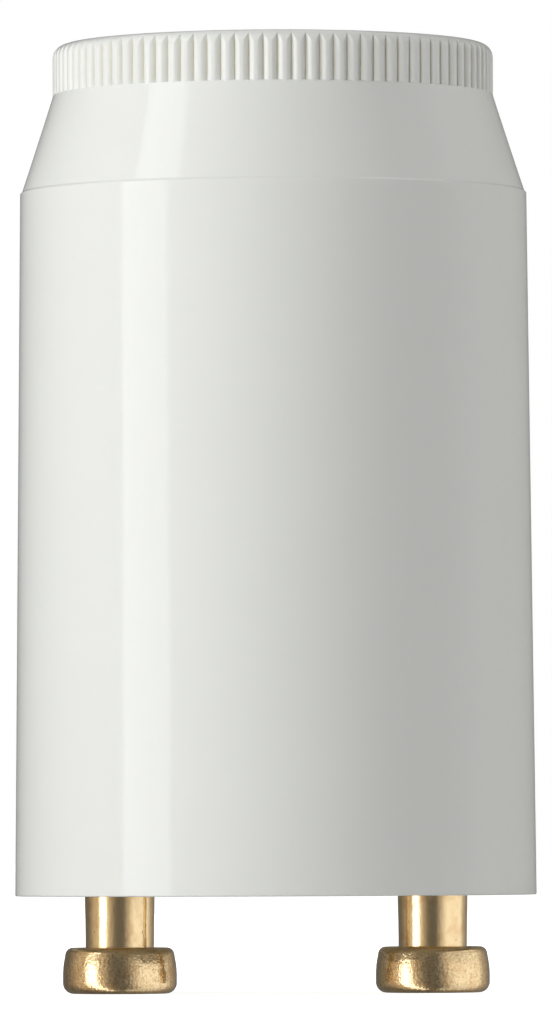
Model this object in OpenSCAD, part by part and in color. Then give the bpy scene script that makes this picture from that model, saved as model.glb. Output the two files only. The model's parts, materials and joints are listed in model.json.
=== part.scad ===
// Starter for fluorescent tubes: a moulded can with a knurled grip, closed by a base plate
// with two contact pins, and holding a glow switch and an interference capacitor.
// The pins stand on the plane Z = 0 and the can's axis is the Z axis. The pins lie along X.

/* [Can] */
// Diameter of the can at its open rim
rim_d = 21.5; // [20.5:0.1:24]
// Diameter of the can at the top of its straight body
shoulder_d = 20.92; // [20:0.01:23.5]
// Length of the body from the rim to the shoulder
body_len = 28.96; // [27:0.01:36]
// Small chamfer that marks the shoulder
shoulder_step = 0.08; // [0.02:0.01:0.3]
// Length of the cone between the shoulder and the grip
cone_len = 4.08; // [2:0.01:8]
// Wall of the can around its cavity
wall = 1.35; // [1.1:0.05:1.8]
// Thinner wall at the mouth, which the base plate fits in
mouth_wall = 1; // [0.7:0.05:1.05]
// Thickness of the closed top
roof = 1.2; // [0.8:0.1:3]
// Rounding of the rim's outer edge
rim_edge_r = 0.06; // [0.02:0.01:0.45]
// Chamfer inside the mouth, which leads the base plate in
mouth_chamfer = 0.2; // [0.05:0.05:0.4]
// Diameter of the shallow dimple that the moulding gate leaves on the top
gate_d = 2.6; // [1:0.1:5]
// Depth of the gate dimple
gate_depth = 0.2; // [0.1:0.05:0.5]

/* [Grip] */
// Diameter of the grip over its ribs
grip_d = 18.2; // [16:0.1:19.5]
// Length of the knurled grip
grip_len = 2.07; // [1.5:0.01:5]
// Number of ribs round the grip
rib_count = 97; // [48:1:110]
// Depth of the grooves between the ribs
rib_depth = 0.19; // [0.1:0.01:0.3]
// Radius of a rib's rounded crest
rib_r = 0.31; // [0.29:0.01:0.5]
// Amount by which the crests are skimmed flat
rib_skim = 0.006; // [0.002:0.001:0.02]
// Turn of the ribs from the front of the can
rib_turn = -0.6; // [-2:0.1:2]
// Rounding of the grip's top edge
grip_edge_r = 0.55; // [0.2:0.05:1]
// Depth under the crests at which the cone ends, so that the crests run out on it
runout_depth = 0.02; // [0.01:0.01:0.1]

/* [Base plate] */
// Thickness of the base plate
plate_thick = 2.2; // [1.6:0.1:3]
// Distance of the base plate inside the rim
plate_recess = 0.6; // [0.3:0.1:1.5]
// Gap between the base plate and the can's mouth
plate_fit = 0.1; // [0.05:0.05:0.3]
// Rounding of the base plate's edges
plate_edge_r = 0.2; // [0.1:0.05:0.4]
// Radius of the snap bead round the base plate
bead_r = 0.3; // [0.2:0.05:0.4]
// Gap between the snap bead and its groove in the can
bead_fit = 0.05; // [0.02:0.01:0.1]
// Diameter of the boss round each pin hole
boss_d = 4.2; // [3.8:0.1:4.4]
// Height of the boss round each pin hole
boss_h = 0.8; // [0.3:0.1:2]

/* [Contact pins] */
// Distance between the two pins
pin_pitch = 12.9; // [12:0.1:14]
// Diameter of a pin's head
head_d = 4.7; // [4.2:0.1:5.2]
// Height of a pin's head
head_h = 1.9; // [1.7:0.1:2.6]
// Height at which the head starts to narrow
head_land_top = 1.05; // [1:0.05:1.3]
// Rounding of the head's side, where it starts to narrow
head_side_r = 3.6; // [0.5:0.1:4]
// Diameter of the head at its upper edge
head_top_d = 4.4; // [4:0.05:4.7]
// Rounding of the head's foot
foot_edge_r = 0.44; // [0.1:0.02:0.5]
// Rounding of the head's upper edge
head_edge_r = 0.3; // [0.1:0.05:0.3]
// Diameter of the stem where it meets the head
stem_foot_d = 2.82; // [2.5:0.02:3]
// Diameter of the stem where it meets the base plate
stem_top_d = 2.9; // [2.6:0.02:3.2]
// Free length of the stem between the head and the can's rim
stem_len = 2.13; // [1.5:0.01:4]
// Diameter of the shank that passes through the base plate
shank_d = 2.2; // [1.8:0.1:2.4]
// Gap between the shank and its hole
shank_fit = 0.03; // [0.01:0.01:0.08]
// Diameter of the collar that rivets the pin to the base plate
rivet_d = 3.2; // [2.8:0.1:3.6]
// Height of the riveted collar
rivet_h = 0.4; // [0.2:0.05:0.8]
// Diameter of the slotted tail
tail_d = 2; // [1.8:0.1:2.6]
// Solid length of the tail under its slot
tail_root = 0.5; // [0.3:0.1:1.5]
// Length of the tail above the upper wire
tail_spare = 0.5; // [0.2:0.1:1.5]

/* [Wires] */
// Diameter of the connecting wires
wire_d = 0.5; // [0.4:0.05:0.7]
// Radius of a bend, on the wire's centre line
bend_r = 1; // [0.8:0.1:1.5]
// Gap between a wire and each side of its slot
slot_fit = 0.05; // [0.02:0.01:0.1]
// Gap left where a wire rests on something
touch = 0.02; // [0.01:0.01:0.05]
// Length of a wire's end past the tail
wire_end = 0.6; // [0.3:0.1:1.5]

/* [Glow bulb] */
// Diameter of the glass envelope
bulb_d = 8; // [7:0.1:8.6]
// Length of the envelope up to the top of its dome
bulb_len = 18.5; // [16:0.5:22]
// Thickness of the glass
glass = 0.6; // [0.4:0.05:0.8]
// Radius of the dome's shoulder
dome_r = 3; // [2:0.1:3.2]
// Diameter of the sealed exhaust tip
tip_d = 1.4; // [1:0.1:1.8]
// Length of the sealed exhaust tip
tip_len = 1.6; // [0.8:0.1:2.5]
// Height of the bulb above its wires' bends
bulb_standoff = 1.2; // [0.5:0.1:3]
// Height of the fused rim of the glass stem
fused_h = 0.8; // [0.5:0.1:1.5]
// Height of the stem's flare, up to the press
flare_h = 3.4; // [2.5:0.1:5]
// Height of the press that seals the wires in
press_h = 3; // [2:0.1:4]
// Thickness of the press
press_thick = 1.7; // [1.2:0.1:2.2]
// Glass beside each wire in the press
press_margin = 0.5; // [0.3:0.05:0.8]
// Distance between the two wires in the stem
lead_pitch = 2.4; // [2:0.1:2.6]
// Length of the wires above the press
post_len = 2.2; // [1.5:0.1:4]

/* [Electrodes] */
// Diameter of the fixed electrode
rod_d = 0.9; // [0.6:0.05:1]
// Length of the fixed electrode
rod_len = 5.6; // [3:0.1:6]
// Thickness of the bimetal strip
strip_thick = 0.25; // [0.15:0.01:0.3]
// Width of the bimetal strip
strip_w = 2.2; // [1.5:0.1:3]
// Gap between the cold strip and the fixed electrode
contact_gap = 0.35; // [0.2:0.05:0.5]
// Height of the strip's bend above its weld
strip_len = 6.6; // [5:0.1:8]
// Length of the weld between the strip and its wire
weld_len = 1.4; // [0.8:0.1:2]
// Height of the strip's free end above the press
free_end_h = 2.6; // [2:0.1:4]

/* [Capacitor] */
// Diameter of the film winding
cap_d = 5.4; // [4.5:0.1:6]
// Length of the film winding
cap_len = 11; // [9:0.5:14]
// Thickness of the sprayed metal on each end
spray_thick = 0.35; // [0.2:0.05:0.6]
// Bare margin round the sprayed metal
spray_margin = 0.2; // [0.1:0.05:0.5]
// Height of the capacitor above its lower wire's bend
cap_standoff = 1; // [0.5:0.1:3]
// Gap between the bulb and the capacitor
pair_gap = 1.2; // [0.6:0.1:2]
// Gap between the winding's side and the wire that comes down beside it
side_gap = 0.6; // [0.3:0.1:1.5]

/* [Hidden] */

$fn = 128;
wire_fn = 24;
rib_fn = 32;
arc_steps = 8;
right_angle = 90;
full_turn = 360;

// Reach of a cutting shape past the surface that it cuts
over = 1;
// Depth to which the ribs run into the cone, so that both are one solid
rib_root = 0.3;

// Heights of the can
rim_z = head_h + stem_len;
shoulder_z = rim_z + body_len;
grip_z = shoulder_z + cone_len;
top_z = grip_z + grip_len;

// Radii of the can
rim_r = rim_d / 2;
shoulder_r = shoulder_d / 2;
grip_r = grip_d / 2;
cone_top_r = grip_r - runout_depth;
mouth_r = rim_r - mouth_wall;
draft = (rim_r - shoulder_r) / body_len;

// Heights of the base plate and of what stands on it
plate_z = rim_z + plate_recess;
ledge_z = plate_z + plate_thick;
bead_z = plate_z + plate_thick / 2;
plate_r = mouth_r - plate_fit;
boss_z = ledge_z + boss_h;
rivet_z = boss_z + rivet_h;
slot_z = rivet_z + tail_root;
slot_w = wire_d + 2 * slot_fit;

// Heights of the two wires in a pin's slot, one on the other
lower_wire_z = slot_z + touch + wire_d / 2;
upper_wire_z = lower_wire_z + touch + wire_d;
tail_z = upper_wire_z + wire_d / 2 + tail_spare;
wire_reach = tail_d / 2 + wire_end;

// The bulb stands in front of the capacitor, and the pair is centred in the can
pair_depth = bulb_d + pair_gap + cap_d;
bulb_y = (bulb_d - pair_depth) / 2;
cap_y = (pair_depth - cap_d) / 2;

// Heights in the bulb
bulb_r = bulb_d / 2;
bulb_z = upper_wire_z + bend_r + bulb_standoff;
glass_z = bulb_z + fused_h;
dome_z = bulb_z + bulb_len;
press_z = bulb_z + flare_h;
press_top_z = press_z + press_h;
post_z = press_top_z + post_len;
lead_x = lead_pitch / 2;
press_x = lead_x + wire_d / 2 + press_margin;
flare_r = bulb_r - 2 * glass;
neck_r = press_x + glass / 3;

// Places of the bimetal strip's two legs, across the gap from the fixed electrode
free_leg_x = -lead_x + rod_d / 2 + contact_gap;
fixed_leg_x = lead_x - wire_d / 2 - touch - strip_thick;
strip_z = post_z - weld_len;
strip_bend_z = strip_z + strip_len;
strip_bend_r = (fixed_leg_x + strip_thick - free_leg_x) / 2;
strip_bend_x = free_leg_x + strip_bend_r;

// Heights of the capacitor
cap_z = lower_wire_z + bend_r + cap_standoff;
winding_z = cap_z + spray_thick;
winding_top_z = winding_z + cap_len;
cap_top_z = winding_top_z + spray_thick;
return_z = cap_top_z + cap_standoff + bend_r;

// Place of the wire beside the winding, and of the bends that lead both wires to their slots
return_x = cap_d / 2 + side_gap + wire_d / 2;
entry_y = wire_reach + bend_r / 2;

// Colours
WHITE_PLASTIC = [0.90, 0.90, 0.88];
PALE_PLASTIC = [0.80, 0.79, 0.74];
BRASS = [0.78, 0.62, 0.33];
CLEAR_GLASS = [0.75, 0.85, 0.88, 0.4];
TINNED_WIRE = [0.72, 0.72, 0.70];
STRIP_METAL = [0.62, 0.60, 0.57];
FILM = [0.86, 0.66, 0.28];
SPRAYED_METAL = [0.60, 0.61, 0.62];

// Unit vector along v
function unit(v) = v / norm(v);

// Signed angle from a to b, from -180 to 180
function turn_between(a, b) = (b - a + 1.5 * full_turn) % full_turn - full_turn / 2;

// Arc of radius r round c, from angle a through the given sweep
function arc_points(c, r, a, sweep) = [
    for (k = [0:arc_steps])
        c + r * [cos(a + sweep * k / arc_steps), sin(a + sweep * k / arc_steps)]
];

// Rounded corner at p, tangent to its sides along the unit vectors u and v
function tangent_arc(p, u, v, r) =
    let (
        half = acos(u * v) / 2,
        c = p + unit(u + v) * r / sin(half),
        first = p + u * r / tan(half) - c,
        last = p + v * r / tan(half) - c,
        a = atan2(first.y, first.x)
    )
    arc_points(c, r, a, turn_between(a, atan2(last.y, last.x)));

// Points of one corner, given as [x, y, radius], between its two neighbours
function corner(before, here, after) =
    let (
        p = [here.x, here.y],
        u = unit([before.x, before.y] - p),
        v = unit([after.x, after.y] - p)
    )
    here.z == 0 ? [p] : tangent_arc(p, u, v, here.z);

// Points of a closed outline, given by its corners as [x, y, radius]
function rounded(corners) =
    let (n = len(corners))
    [
        for (i = [0:n - 1])
            each corner(corners[(i + n - 1) % n], corners[i], corners[(i + 1) % n])
    ];

// Radius of the can's outside at a height on its straight body
function body_r(z) = rim_r - draft * (z - rim_z);

// Turned or moulded solid with the given corners in its half section
module turned(corners) {
    rotate_extrude()
        polygon(rounded(corners));
}

// Straight piece of round wire
module rod(from, to, d) {
    run = to - from;
    length = norm(run);
    translate(from)
        rotate([0, acos(run.z / length), atan2(run.y, run.x)])
            cylinder(h = length, d = d, $fn = wire_fn);
}

// Bend of round wire at point p, from direction u to direction v, both unit vectors
module elbow(p, u, v, d) {
    turn = acos(u * v);
    inward = unit(v - (u * v) * u);
    axis = cross(u, inward);
    centre = p - u * bend_r * tan(turn / 2) + inward * bend_r;
    multmatrix([
        [-inward.x, u.x, axis.x, centre.x],
        [-inward.y, u.y, axis.y, centre.y],
        [-inward.z, u.z, axis.z, centre.z],
        [0, 0, 0, 1],
    ])
        rotate_extrude(angle = turn)
            translate([bend_r, 0])
                circle(d = d, $fn = wire_fn);
}

// Point on the wire where it leaves the bend at p towards q
function off_bend(p, q, before) =
    let (turn = acos(unit(p - before) * unit(q - p)))
    p + unit(q - p) * bend_r * tan(turn / 2);

// Round wire through the given points, with a bend at each inner one
module wire(points, d) {
    last = len(points) - 1;
    for (i = [0:last - 1])
        rod(
            i == 0 ? points[0] : off_bend(points[i], points[i + 1], points[i - 1]),
            i == last - 1 ? points[last] : off_bend(points[i + 1], points[i], points[i + 2]),
            d
        );
    for (i = [1:last - 1])
        elbow(points[i], unit(points[i] - points[i - 1]), unit(points[i + 1] - points[i]), d);
}

// Outline of the knurl, seen along the can's axis
module knurl_outline() {
    circle(r = grip_r - rib_depth);
    for (i = [0:rib_count - 1])
        rotate(rib_turn + i * full_turn / rib_count)
            translate([0, rib_r - grip_r - rib_skim])
                circle(r = rib_r, $fn = rib_fn);
}

// Knurled grip: upright ribs that run out in the rounded top edge
module knurled_grip() {
    intersection() {
        translate([0, 0, grip_z - rib_root])
            linear_extrude(grip_len + rib_root + over)
                knurl_outline();
        turned([
            [0, grip_z - rib_root - over, 0],
            [grip_r, grip_z - rib_root - over, 0],
            [grip_r, top_z, grip_edge_r],
            [0, top_z, 0],
        ]);
    }
}

// Outside of the can below its ribs
module can_outside() {
    turned([
        [0, rim_z, 0],
        [rim_r, rim_z, rim_edge_r],
        [shoulder_r, shoulder_z, 0],
        [shoulder_r - shoulder_step, shoulder_z + shoulder_step, 0],
        [cone_top_r, grip_z, 0],
        [0, grip_z, 0],
    ]);
}

// Inside of the can: the mouth, the ledge that stops the base plate, and the cavity
module can_inside() {
    cavity_r = body_r(ledge_z) - wall;
    turned([
        [0, rim_z - over, 0],
        [mouth_r + mouth_chamfer + over, rim_z - over, 0],
        [mouth_r, rim_z + mouth_chamfer, 0],
        [mouth_r, ledge_z, 0],
        [cavity_r, ledge_z, 0],
        [shoulder_r - wall, shoulder_z, 0],
        [grip_r - wall, grip_z, 0],
        [grip_r - wall, top_z - roof, 0],
        [0, top_z - roof, 0],
    ]);
}

// Round ring at the height of the snap, for the bead and for its groove
module bead_ring(r) {
    rotate_extrude()
        translate([plate_r, bead_z])
            circle(r = r, $fn = rib_fn);
}

module can() {
    color(WHITE_PLASTIC)
        difference() {
            union() {
                can_outside();
                knurled_grip();
            }
            can_inside();
            bead_ring(bead_r + bead_fit);
            translate([0, 0, top_z - gate_depth])
                cylinder(h = gate_depth + over, d1 = gate_d, d2 = gate_d + 2 * (gate_depth + over));
        }
}

module base_plate() {
    color(PALE_PLASTIC)
        difference() {
            union() {
                turned([
                    [0, plate_z, 0],
                    [plate_r, plate_z, plate_edge_r],
                    [plate_r, ledge_z, 0],
                    [0, ledge_z, 0],
                ]);
                bead_ring(bead_r);
                for (side = [-1, 1])
                    translate([side * pin_pitch / 2, 0, plate_z + plate_thick / 2])
                        cylinder(h = plate_thick / 2 + boss_h, d = boss_d);
            }
            for (side = [-1, 1])
                translate([side * pin_pitch / 2, 0, plate_z - over])
                    cylinder(h = plate_thick + boss_h + 2 * over, r = shank_d / 2 + shank_fit);
        }
}

// Turned contact pin, riveted over the base plate's boss, with a slot for two wires
module contact_pin(side) {
    color(BRASS)
        translate([side * pin_pitch / 2, 0, 0])
            difference() {
                turned([
                    [0, 0, 0],
                    [head_d / 2, 0, foot_edge_r],
                    [head_d / 2, head_land_top, head_side_r],
                    [head_top_d / 2, head_h, head_edge_r],
                    [stem_foot_d / 2, head_h, 0],
                    [stem_top_d / 2, plate_z, 0],
                    [shank_d / 2, plate_z, 0],
                    [shank_d / 2, boss_z, 0],
                    [rivet_d / 2, boss_z, 0],
                    [rivet_d / 2, rivet_z, rivet_h / 2],
                    [tail_d / 2, rivet_z, 0],
                    [tail_d / 2, tail_z, 0],
                    [0, tail_z, 0],
                ]);
                translate([-slot_w / 2, -tail_d, slot_z])
                    cube([slot_w, 2 * tail_d, tail_z - slot_z + over]);
            }
}

module pin_left() {
    contact_pin(-1);
}

module pin_right() {
    contact_pin(1);
}

// Blown envelope, with the exhaust tip sealed at its crown
module bulb_envelope() {
    color(CLEAR_GLASS)
        translate([0, bulb_y, 0])
            turned([
                [bulb_r - glass, glass_z, 0],
                [bulb_r, glass_z, 0],
                [bulb_r, dome_z, dome_r],
                [tip_d / 2, dome_z, tip_d / 4],
                [tip_d / 2, dome_z + tip_len, tip_d / 3],
                [0, dome_z + tip_len, 0],
                [0, dome_z - glass, 0],
                [bulb_r - glass, dome_z - glass, dome_r - glass],
            ]);
}

// Glass stem: a hollow flare fused to the envelope, and the press round both wires
module bulb_stem() {
    color(CLEAR_GLASS)
        translate([0, bulb_y, 0])
            difference() {
                union() {
                    turned([
                        [flare_r - glass / 2, bulb_z, 0],
                        [bulb_r, bulb_z, glass / 3],
                        [bulb_r, glass_z, 0],
                        [flare_r, glass_z, glass / 2],
                        [neck_r, press_z, 0],
                        [0, press_z, 0],
                        [0, press_z - glass, 0],
                        [neck_r - glass, press_z - glass, 0],
                    ]);
                    translate([0, 0, press_z - glass / 2])
                        press();
                }
                for (side = [-1, 1])
                    translate([side * lead_x, 0, bulb_z])
                        cylinder(h = bulb_len, r = wire_d / 2 + touch, $fn = wire_fn);
            }
}

// Flattened press of the stem
module press() {
    corner_x = press_x - press_thick / 2;
    linear_extrude(press_h + glass / 2) {
        square([2 * corner_x, press_thick], center = true);
        for (side = [-1, 1])
            translate([side * corner_x, 0])
                circle(d = press_thick);
    }
}

// Wire from the bulb down to the slot of the pin on its own side
module bulb_lead(side) {
    pin_x = side * pin_pitch / 2;
    color(TINNED_WIRE)
        wire(
            [
                [side * lead_x, bulb_y, post_z],
                [side * lead_x, bulb_y, upper_wire_z],
                [pin_x, bulb_y, upper_wire_z],
                [pin_x, wire_reach, upper_wire_z],
            ],
            wire_d
        );
}

module bulb_lead_left() {
    bulb_lead(-1);
}

module bulb_lead_right() {
    bulb_lead(1);
}

// Fixed electrode, butt-welded on the left wire
module contact_rod() {
    color(STRIP_METAL)
        translate([-lead_x, bulb_y, 0])
            turned([
                [0, post_z, 0],
                [rod_d / 2, post_z, 0],
                [rod_d / 2, post_z + rod_len, rod_d / 4],
                [0, post_z + rod_len, 0],
            ]);
}

// Side view of the bimetal strip: two legs joined by a round bend
module strip_outline() {
    translate([fixed_leg_x, strip_z])
        square([strip_thick, strip_len]);
    translate([free_leg_x, press_top_z + free_end_h])
        square([strip_thick, strip_bend_z - press_top_z - free_end_h]);
    translate([strip_bend_x, strip_bend_z])
        difference() {
            circle(r = strip_bend_r);
            circle(r = strip_bend_r - strip_thick);
            translate([-strip_bend_r - over, -strip_bend_r - over])
                square([2 * (strip_bend_r + over), strip_bend_r + over]);
        }
}

module bimetal_strip() {
    color(STRIP_METAL)
        translate([0, bulb_y + strip_w / 2, 0])
            rotate([right_angle, 0, 0])
                linear_extrude(strip_w)
                    strip_outline();
}

module capacitor_winding() {
    color(FILM)
        translate([0, cap_y, winding_z])
            cylinder(h = cap_len, d = cap_d);
}

// Metal sprayed on one end of the winding
module sprayed_end(z) {
    color(SPRAYED_METAL)
        translate([0, cap_y, z])
            cylinder(h = spray_thick, r = cap_d / 2 - spray_margin);
}

module capacitor_end_lower() {
    sprayed_end(cap_z);
}

module capacitor_end_upper() {
    sprayed_end(winding_top_z);
}

// Wire from the capacitor's lower end to the left pin
module capacitor_lead_lower() {
    color(TINNED_WIRE)
        wire(
            [
                [0, cap_y, cap_z],
                [0, cap_y, lower_wire_z],
                [0, entry_y, lower_wire_z],
                [-pin_pitch / 2, entry_y, lower_wire_z],
                [-pin_pitch / 2, -wire_reach, lower_wire_z],
            ],
            wire_d
        );
}

// Wire from the capacitor's upper end, over its side and down to the right pin
module capacitor_lead_upper() {
    color(TINNED_WIRE)
        wire(
            [
                [0, cap_y, cap_top_z],
                [0, cap_y, return_z],
                [return_x, cap_y, return_z],
                [return_x, cap_y, lower_wire_z],
                [return_x, entry_y, lower_wire_z],
                [pin_pitch / 2, entry_y, lower_wire_z],
                [pin_pitch / 2, -wire_reach, lower_wire_z],
            ],
            wire_d
        );
}

can();
base_plate();
pin_left();
pin_right();
bulb_envelope();
bulb_stem();
bulb_lead_left();
bulb_lead_right();
contact_rod();
bimetal_strip();
capacitor_winding();
capacitor_end_lower();
capacitor_end_upper();
capacitor_lead_lower();
capacitor_lead_upper();
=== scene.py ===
"""Looks of a starter for fluorescent tubes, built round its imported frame.

Lengths are in metres, Z is up, and the two contact pins lie along X. The camera looks along +Y.
"""

import json
import math

import bpy
from mathutils import Matrix, Vector


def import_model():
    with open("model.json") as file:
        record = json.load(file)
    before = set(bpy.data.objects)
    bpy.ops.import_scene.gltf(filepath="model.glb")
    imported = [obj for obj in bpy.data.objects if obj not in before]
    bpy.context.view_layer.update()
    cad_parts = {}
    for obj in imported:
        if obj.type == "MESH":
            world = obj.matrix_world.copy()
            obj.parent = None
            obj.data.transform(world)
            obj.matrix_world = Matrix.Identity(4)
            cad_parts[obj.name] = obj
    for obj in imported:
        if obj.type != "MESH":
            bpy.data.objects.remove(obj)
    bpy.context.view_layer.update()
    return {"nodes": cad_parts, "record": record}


MM = 0.001

# The photograph's frame, in pixels, and where the camera stands in it.
FRAME_W_PX = 552
FRAME_H_PX = 1024
FOCAL_PX = 10420
HORIZON_ROW_PX = 845
AXIS_COLUMN_PX = 274.5
SENSOR_MM = 36
EYE_DISTANCE = 430 * MM
EYE_HEIGHT = 6.1 * MM
ROLL_DEG = -0.229

# Soft lights, by angle round the object from the camera: negative is to the left.
STUDIO_R = 0.5
STUDIO_H = 0.5
KEY_FROM_DEG, KEY_TO_DEG, KEY_LEVEL = -74.4, -60.0, 8.2
FRONT_FROM_DEG, FRONT_TO_DEG, FRONT_LEVEL = -36.0, -8.0, 3.8
RIM_FROM_DEG, RIM_TO_DEG, RIM_LEVEL = 110.0, 134.0, 5.9
BACK_FROM_DEG, BACK_TO_DEG, BACK_LEVEL = 160.0, 200.0, 1.0
AMBIENT = 0.1

# What shiny surfaces see round the object: stops of angle, level and warmth, joined by ramps.
WALL_STEP_DEG = 4
WARM = (1.0, 0.84, 0.66)
WALL = (
    (-180.0, 0.15, 0.0),
    (-140.0, 0.15, 0.2),
    (-118.0, 0.25, 0.5),
    (-98.0, 0.55, 0.8),
    (-73.0, 0.70, 0.8),
    (-71.5, 3.20, 0.0),
    (-50.0, 3.20, 0.0),
    (-47.5, 0.90, 0.4),
    (-34.0, 0.50, 0.8),
    (-20.0, 0.20, 0.4),
    (-8.0, 0.14, 0.0),
    (10.0, 0.15, 0.1),
    (27.0, 0.60, 0.4),
    (46.0, 1.10, 0.0),
    (102.0, 1.10, 0.0),
    (121.0, 0.50, 0.4),
    (146.0, 0.26, 0.5),
    (180.0, 0.15, 0.0),
)
# Its outline from the top to the middle of the dark under the object: radius, height, the most
# that it shines there, the share by which it has dimmed, and its turn in degrees.
WALL_OUTLINE = (
    (0.45, 0.50, 9.0, 0.0, 0),
    (0.45, 0.25, 9.0, 0.0, 0),
    (0.45, 0.17, 0.45, 0.0, 0),
    (0.45, 0.12, 0.80, 0.0, 0),
    (0.45, 0.08, 9.0, 0.0, 0),
    (0.45, -0.05, 9.0, 0.0, 4),
    (0.45, -0.50, 9.0, 0.3, 10),
    (0.10, -0.50, 9.0, 0.5, 10),
    (0.0, -0.50, 9.0, 1.0, 10),
)
DIM_LEVEL = 0.12

FLOOR_HALF = 3.0
FLOOR_SHADE = 0.7
FLOOR_LIFT = 0.8
LIFT_GROWS_FROM = 40 * MM
LIFT_IS_FULL_AT = 200 * MM
SHARP_DEG = 35

# The knurled grip, from the part's source.
TOP_Z = 39.14 * MM
CREST_R = 9.1 * MM
GROOVE_DEPTH = 0.19 * MM


def link_in(name, data):
    """New object in the scene."""
    obj = bpy.data.objects.new(name, data)
    bpy.context.scene.collection.objects.link(obj)
    return obj


def camera():
    """Camera that frames the object as the photograph does."""
    data = bpy.data.cameras.new("camera")
    data.sensor_fit = "AUTO"
    data.sensor_width = SENSOR_MM
    data.lens = FOCAL_PX * SENSOR_MM / FRAME_H_PX
    data.clip_start = 0.01
    data.clip_end = 20
    obj = link_in("camera", data)
    up_tilt = math.atan((HORIZON_ROW_PX - FRAME_H_PX / 2) / FOCAL_PX)
    aside = (FRAME_W_PX / 2 - AXIS_COLUMN_PX) / FOCAL_PX * EYE_DISTANCE
    level = Matrix.Rotation(math.pi / 2 + up_tilt, 4, "X")
    roll = Matrix.Rotation(math.radians(ROLL_DEG), 4, "Z")
    obj.matrix_world = Matrix.Translation((aside, -EYE_DISTANCE, EYE_HEIGHT)) @ level @ roll
    bpy.context.scene.camera = obj


def around(angle_deg, radius, height):
    """Point round the object at an angle from the camera, positive to the right."""
    a = math.radians(angle_deg)
    return Vector((radius * math.sin(a), -radius * math.cos(a), height))


def softbox(name, from_deg, to_deg, level):
    """Upright soft light that fills the angles from one side to the other."""
    middle = (from_deg + to_deg) / 2
    half = math.radians((to_deg - from_deg) / 2)
    data = bpy.data.lights.new(name, "AREA")
    data.shape = "RECTANGLE"
    data.size = 2 * STUDIO_R * math.tan(half)
    data.size_y = STUDIO_H
    data.energy = level * math.pi * data.size * data.size_y
    obj = link_in(name, data)
    obj.location = around(middle, STUDIO_R, STUDIO_H / 2)
    inward = around(middle, -1, 0)
    obj.rotation_euler = inward.to_track_quat("-Z", "Y").to_euler()
    obj.visible_glossy = False


def glow_material(name):
    """Material that shines with the level that its mesh carries."""
    material = bpy.data.materials.new(name)
    material.use_nodes = True
    tree = material.node_tree
    tree.nodes.clear()
    level = tree.nodes.new("ShaderNodeAttribute")
    level.attribute_name = "level"
    glow = tree.nodes.new("ShaderNodeEmission")
    tree.links.new(level.outputs["Color"], glow.inputs["Color"])
    out = tree.nodes.new("ShaderNodeOutputMaterial")
    tree.links.new(glow.outputs[0], out.inputs["Surface"])
    return material


def wall_stops():
    """The wall's stops, with more of them on each ramp."""
    stops = [WALL[0]]
    for here, there in zip(WALL, WALL[1:]):
        steps = max(1, round((there[0] - here[0]) / WALL_STEP_DEG))
        for i in range(1, steps + 1):
            stops.append([a + i / steps * (b - a) for a, b in zip(here, there)])
    return stops


def reflected_wall():
    """Round wall of light and dark that only reflections see, closed under the object."""
    stops = wall_stops()
    points = []
    levels = []
    for radius, height, most, dimmed, turn in WALL_OUTLINE:
        for angle, level, warmth in stops:
            points.append(around(angle + turn, radius, height))
            here = min(level, most) * (1 - dimmed) + DIM_LEVEL * dimmed
            levels += [here * (1 + warmth * (tint - 1)) for tint in WARM] + [1]
    across = len(stops)
    faces = []
    for i in range(len(WALL_OUTLINE) - 1):
        for j in range(across - 1):
            corner = i * across + j
            faces.append((corner, corner + 1, corner + 1 + across, corner + across))
    mesh = bpy.data.meshes.new("reflected_wall")
    mesh.from_pydata(points, [], faces)
    carried = mesh.attributes.new("level", "FLOAT_COLOR", "POINT")
    carried.data.foreach_set("color", levels)
    mesh.materials.append(glow_material("reflected_wall"))
    obj = link_in("reflected_wall", mesh)
    obj.visible_camera = False
    obj.visible_shadow = False
    obj.visible_diffuse = False


def seen_directly(tree):
    """Factor that is 1 for rays from the camera, and for mirrored and transmitted ones."""
    path = tree.nodes.new("ShaderNodeLightPath")
    first = tree.nodes.new("ShaderNodeMath")
    first.operation = "MAXIMUM"
    tree.links.new(path.outputs["Is Camera Ray"], first.inputs[0])
    tree.links.new(path.outputs["Is Glossy Ray"], first.inputs[1])
    second = tree.nodes.new("ShaderNodeMath")
    second.operation = "MAXIMUM"
    tree.links.new(first.outputs[0], second.inputs[0])
    tree.links.new(path.outputs["Is Transmission Ray"], second.inputs[1])
    return second.outputs[0]


def world():
    """White surroundings that give only a soft light."""
    w = bpy.data.worlds.new("world")
    bpy.context.scene.world = w
    w.use_nodes = True
    tree = w.node_tree
    tree.nodes.clear()
    white = tree.nodes.new("ShaderNodeBackground")
    white.inputs["Color"].default_value = (1, 1, 1, 1)
    soft = tree.nodes.new("ShaderNodeBackground")
    soft.inputs["Color"].default_value = (1, 1, 1, 1)
    soft.inputs["Strength"].default_value = AMBIENT
    mix = tree.nodes.new("ShaderNodeMixShader")
    tree.links.new(seen_directly(tree), mix.inputs[0])
    tree.links.new(soft.outputs[0], mix.inputs[1])
    tree.links.new(white.outputs[0], mix.inputs[2])
    out = tree.nodes.new("ShaderNodeOutputWorld")
    tree.links.new(mix.outputs[0], out.inputs["Surface"])


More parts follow.
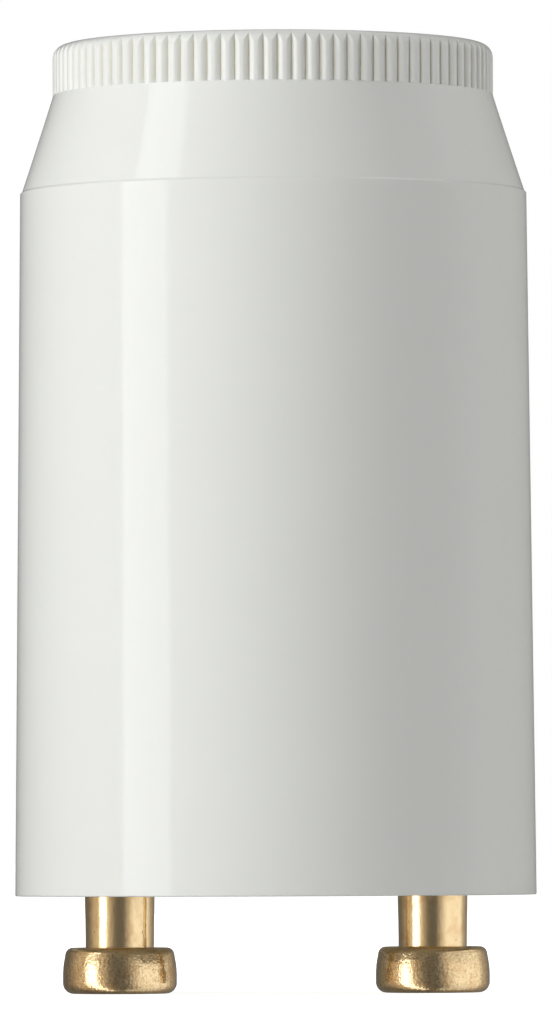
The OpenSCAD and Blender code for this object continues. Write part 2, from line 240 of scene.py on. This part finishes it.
def floor():
    """White floor, lifted by a glow that grows outward. Reflections see the wall in its place."""
    low, high = -FLOOR_HALF, FLOOR_HALF
    mesh = bpy.data.meshes.new("floor")
    mesh.from_pydata([(low, low, 0), (high, low, 0), (high, high, 0), (low, high, 0)], [], [(0, 1, 2, 3)])
    obj = link_in("floor", mesh)
    material = bpy.data.materials.new("floor")
    material.use_nodes = True
    tree = material.node_tree
    tree.nodes.clear()
    matt = tree.nodes.new("ShaderNodeBsdfDiffuse")
    matt.inputs["Color"].default_value = (FLOOR_SHADE, FLOOR_SHADE, FLOOR_SHADE, 1)
    place = tree.nodes.new("ShaderNodeTexCoord")
    away = tree.nodes.new("ShaderNodeVectorMath")
    away.operation = "LENGTH"
    tree.links.new(place.outputs["Object"], away.inputs[0])
    lift = tree.nodes.new("ShaderNodeMapRange")
    lift.inputs["From Min"].default_value = LIFT_GROWS_FROM
    lift.inputs["From Max"].default_value = LIFT_IS_FULL_AT
    lift.inputs["To Min"].default_value = FLOOR_LIFT
    tree.links.new(away.outputs["Value"], lift.inputs["Value"])
    strength = tree.nodes.new("ShaderNodeMath")
    strength.operation = "MULTIPLY"
    tree.links.new(seen_directly(tree), strength.inputs[0])
    tree.links.new(lift.outputs["Result"], strength.inputs[1])
    glow = tree.nodes.new("ShaderNodeEmission")
    tree.links.new(strength.outputs[0], glow.inputs["Strength"])
    both = tree.nodes.new("ShaderNodeAddShader")
    tree.links.new(matt.outputs[0], both.inputs[0])
    tree.links.new(glow.outputs[0], both.inputs[1])
    out = tree.nodes.new("ShaderNodeOutputMaterial")
    tree.links.new(both.outputs[0], out.inputs["Surface"])
    mesh.materials.append(material)
    obj.visible_glossy = False


class Surface:
    """A principled material with its noise fields, in the object's own metres."""

    def __init__(self, name, color, roughness, metallic=0.0):
        self.material = bpy.data.materials.new(name)
        self.material.use_nodes = True
        self.tree = self.material.node_tree
        self.bsdf = self.tree.nodes["Principled BSDF"]
        self.bsdf.inputs["Base Color"].default_value = (*color, 1)
        self.bsdf.inputs["Roughness"].default_value = roughness
        self.bsdf.inputs["Metallic"].default_value = metallic
        self.place = self.tree.nodes.new("ShaderNodeTexCoord").outputs["Object"]
        self.normal = None

    def link(self, source, target):
        self.tree.links.new(source, target)

    def noise(self, size, detail=2.0, stretch=(1, 1, 1)):
        """Noise whose lumps are about size metres across."""
        scale = self.tree.nodes.new("ShaderNodeMapping")
        scale.inputs["Scale"].default_value = [s / size for s in stretch]
        self.link(self.place, scale.inputs["Vector"])
        node = self.tree.nodes.new("ShaderNodeTexNoise")
        node.inputs["Scale"].default_value = 1
        node.inputs["Detail"].default_value = detail
        self.link(scale.outputs[0], node.inputs["Vector"])
        return node.outputs["Fac"]

    def cells(self, size):
        """Distance to the nearest of scattered points, about size metres apart."""
        scale = self.tree.nodes.new("ShaderNodeMapping")
        scale.inputs["Scale"].default_value = [1 / size] * 3
        self.link(self.place, scale.inputs["Vector"])
        node = self.tree.nodes.new("ShaderNodeTexVoronoi")
        node.inputs["Scale"].default_value = 1
        self.link(scale.outputs[0], node.inputs["Vector"])
        return node.outputs["Distance"]

    def height(self):
        """Height above the plane that the object stands on."""
        node = self.tree.nodes.new("ShaderNodeSeparateXYZ")
        self.link(self.place, node.inputs[0])
        return node.outputs["Z"]

    def radius(self):
        """Distance from the can's axis."""
        flat = self.tree.nodes.new("ShaderNodeVectorMath")
        flat.operation = "MULTIPLY"
        flat.inputs[1].default_value = (1, 1, 0)
        self.link(self.place, flat.inputs[0])
        node = self.tree.nodes.new("ShaderNodeVectorMath")
        node.operation = "LENGTH"
        self.link(flat.outputs[0], node.inputs[0])
        return node.outputs["Value"]

    def product(self, a, b):
        node = self.tree.nodes.new("ShaderNodeMath")
        node.operation = "MULTIPLY"
        self.link(a, node.inputs[0])
        self.link(b, node.inputs[1])
        return node.outputs[0]

    def spread(self, value, low, high, to_low, to_high, smooth=False):
        """Value, mapped from one range to another and held at its ends."""
        node = self.tree.nodes.new("ShaderNodeMapRange")
        node.interpolation_type = "SMOOTHSTEP" if smooth else "LINEAR"
        node.inputs["From Min"].default_value = low
        node.inputs["From Max"].default_value = high
        node.inputs["To Min"].default_value = to_low
        node.inputs["To Max"].default_value = to_high
        self.link(value, node.inputs["Value"])
        return node.outputs["Result"]

    def blend(self, factor, a, b):
        """Colour between a and b, which are colours or colour outputs."""
        node = self.tree.nodes.new("ShaderNodeMix")
        node.data_type = "RGBA"
        self.link(factor, node.inputs["Factor"])
        sockets = [s for s in node.inputs if s.type == "RGBA"]
        for value, socket in zip((a, b), sockets):
            if isinstance(value, tuple):
                socket.default_value = (*value, 1)
            else:
                self.link(value, socket)
        return [s for s in node.outputs if s.type == "RGBA"][0]

    def bump(self, height, depth):
        """Relief of the given depth in metres, on top of the relief so far."""
        node = self.tree.nodes.new("ShaderNodeBump")
        node.inputs["Strength"].default_value = 1
        node.inputs["Distance"].default_value = depth
        self.link(height, node.inputs["Height"])
        if self.normal:
            self.link(self.normal, node.inputs["Normal"])
        self.normal = node.outputs["Normal"]
        self.link(self.normal, self.bsdf.inputs["Normal"])

    def soften_edges(self, radius):
        """Edges that look rounded to the given radius."""
        node = self.tree.nodes.new("ShaderNodeBevel")
        node.samples = 6
        node.inputs["Radius"].default_value = radius
        self.normal = node.outputs["Normal"]
        self.link(self.normal, self.bsdf.inputs["Normal"])


def white_plastic():
    s = Surface("white_plastic", (0.80, 0.81, 0.775), 0.2)
    s.soften_edges(0.04 * MM)
    even_tone = s.blend(s.noise(6 * MM), (0.79, 0.80, 0.765), (0.81, 0.82, 0.785))
    # Painted shade: the grip's groove floors, below its top edge and above the cone, are painted darker
    # and warmer.
    in_groove = s.spread(s.radius(), CREST_R - GROOVE_DEPTH, CREST_R - 0.3 * GROOVE_DEPTH, 1, 0)
    under_edge = s.spread(s.height(), TOP_Z - 0.5 * MM, TOP_Z - 0.3 * MM, 1, 0)
    above_cone = s.spread(s.height(), TOP_Z - 2.05 * MM, TOP_Z - 1.8 * MM, 0, 1)
    groove_painted_shade = s.product(s.product(in_groove, under_edge), above_cone)
    s.link(s.blend(groove_painted_shade, even_tone, (0.74, 0.71, 0.60)), s.bsdf.inputs["Base Color"])
    s.link(s.spread(s.noise(1.5 * MM), 0.3, 0.7, 0.06, 0.10), s.bsdf.inputs["Roughness"])
    s.bump(s.noise(0.8 * MM), 0.0006 * MM)
    s.bsdf.inputs["IOR"].default_value = 1.39
    s.bsdf.inputs["Subsurface Weight"].default_value = 0.15
    s.bsdf.inputs["Subsurface Radius"].default_value = (1.0, 0.9, 0.7)
    s.bsdf.inputs["Subsurface Scale"].default_value = 0.5 * MM
    return s.material


def pale_plastic():
    s = Surface("pale_plastic", (0.62, 0.60, 0.53), 0.5)
    s.link(s.blend(s.noise(3 * MM), (0.60, 0.58, 0.51), (0.64, 0.62, 0.55)), s.bsdf.inputs["Base Color"])
    s.link(s.spread(s.noise(0.6 * MM), 0.3, 0.7, 0.42, 0.58), s.bsdf.inputs["Roughness"])
    s.bump(s.noise(0.25 * MM, 4), 0.004 * MM)
    return s.material


def brass():
    s = Surface("brass", (0.88, 0.70, 0.42), 0.2, 1.0)
    s.soften_edges(0.04 * MM)
    on_head = s.spread(s.height(), 1.95 * MM, 1.7 * MM, 0, 1, True)
    patina = s.spread(s.noise(0.4 * MM, 5, (1, 1, 0.7)), 0.42, 0.7, 0, 1, True)
    base = s.blend(patina, (0.90, 0.70, 0.41), (0.80, 0.57, 0.31))
    grain = s.product(s.spread(s.noise(0.1 * MM, 3), 0.45, 0.7, 0, 1), on_head)
    grained = s.blend(grain, base, (0.62, 0.43, 0.23))
    pits = s.spread(s.cells(0.5 * MM), 0.03, 0.08, 1, 0, True)
    s.link(s.blend(pits, grained, (0.42, 0.29, 0.15)), s.bsdf.inputs["Base Color"])
    s.link(s.spread(on_head, 0, 1, 0.165, 0.15), s.bsdf.inputs["Roughness"])
    s.bump(s.spread(s.height(), 1.0 * MM, 1.7 * MM, 0, 1, True), 0.012 * MM)
    s.bump(s.product(s.noise(0.9 * MM, 2), on_head), 0.015 * MM)
    s.bump(s.noise(0.12 * MM, 3, (1, 1, 0.3)), 0.004 * MM)
    s.bump(s.product(s.noise(0.11 * MM, 2), on_head), 0.009 * MM)
    s.bump(s.spread(s.cells(0.5 * MM), 0, 0.12, 0, 1, True), 0.006 * MM)
    return s.material


def clear_glass():
    s = Surface("clear_glass", (0.97, 0.99, 0.98), 0.02)
    s.bsdf.inputs["Transmission Weight"].default_value = 1
    s.bsdf.inputs["IOR"].default_value = 1.5
    s.bump(s.noise(3 * MM), 0.01 * MM)
    return s.material


def tinned_wire():
    s = Surface("wire", (0.72, 0.72, 0.70), 0.3, 1.0)
    s.link(s.spread(s.noise(0.4 * MM, 3), 0.3, 0.7, 0.22, 0.4), s.bsdf.inputs["Roughness"])
    s.bump(s.noise(0.2 * MM, 3), 0.004 * MM)
    return s.material


def electrode():
    s = Surface("electrode", (0.52, 0.51, 0.49), 0.35, 1.0)
    s.link(s.spread(s.noise(0.5 * MM, 3), 0.3, 0.7, 0.28, 0.45), s.bsdf.inputs["Roughness"])
    s.bump(s.noise(0.15 * MM, 3, (1, 1, 0.1)), 0.003 * MM)
    return s.material


def film():
    s = Surface("film", (0.72, 0.44, 0.12), 0.25)
    s.link(s.blend(s.noise(1.5 * MM, 3, (0.2, 0.2, 3)), (0.76, 0.48, 0.14), (0.66, 0.38, 0.09)), s.bsdf.inputs["Base Color"])
    s.bump(s.noise(2 * MM, 2), 0.03 * MM)
    return s.material


def sprayed_metal():
    s = Surface("sprayed_metal", (0.46, 0.47, 0.48), 0.6, 1.0)
    s.bump(s.noise(0.15 * MM, 5), 0.03 * MM)
    return s.material


MATERIALS = {
    "white_plastic": white_plastic,
    "pale_plastic": pale_plastic,
    "brass": brass,
    "clear_glass": clear_glass,
    "wire": tinned_wire,
    "electrode": electrode,
    "film": film,
    "sprayed_metal": sprayed_metal,
}


def dress(frame):
    """Gives each node the material of its slot, and shades its curved faces smooth."""
    made = {}
    for part in frame["record"]["subparts"]:
        slot = part["material_slot"]
        if slot not in made:
            made[slot] = MATERIALS[slot]()
        node = frame["nodes"][part["node"]]
        node.data.materials.clear()
        node.data.materials.append(made[slot])
        node.data.shade_smooth()
        node.data.set_sharp_from_angle(angle=math.radians(SHARP_DEG))


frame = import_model()
bpy.context.scene.view_settings.view_transform = "Standard"
camera()
world()
floor()
softbox("key", KEY_FROM_DEG, KEY_TO_DEG, KEY_LEVEL)
softbox("front", FRONT_FROM_DEG, FRONT_TO_DEG, FRONT_LEVEL)
softbox("rim", RIM_FROM_DEG, RIM_TO_DEG, RIM_LEVEL)
softbox("back", BACK_FROM_DEG, BACK_TO_DEG, BACK_LEVEL)
reflected_wall()
dress(frame)
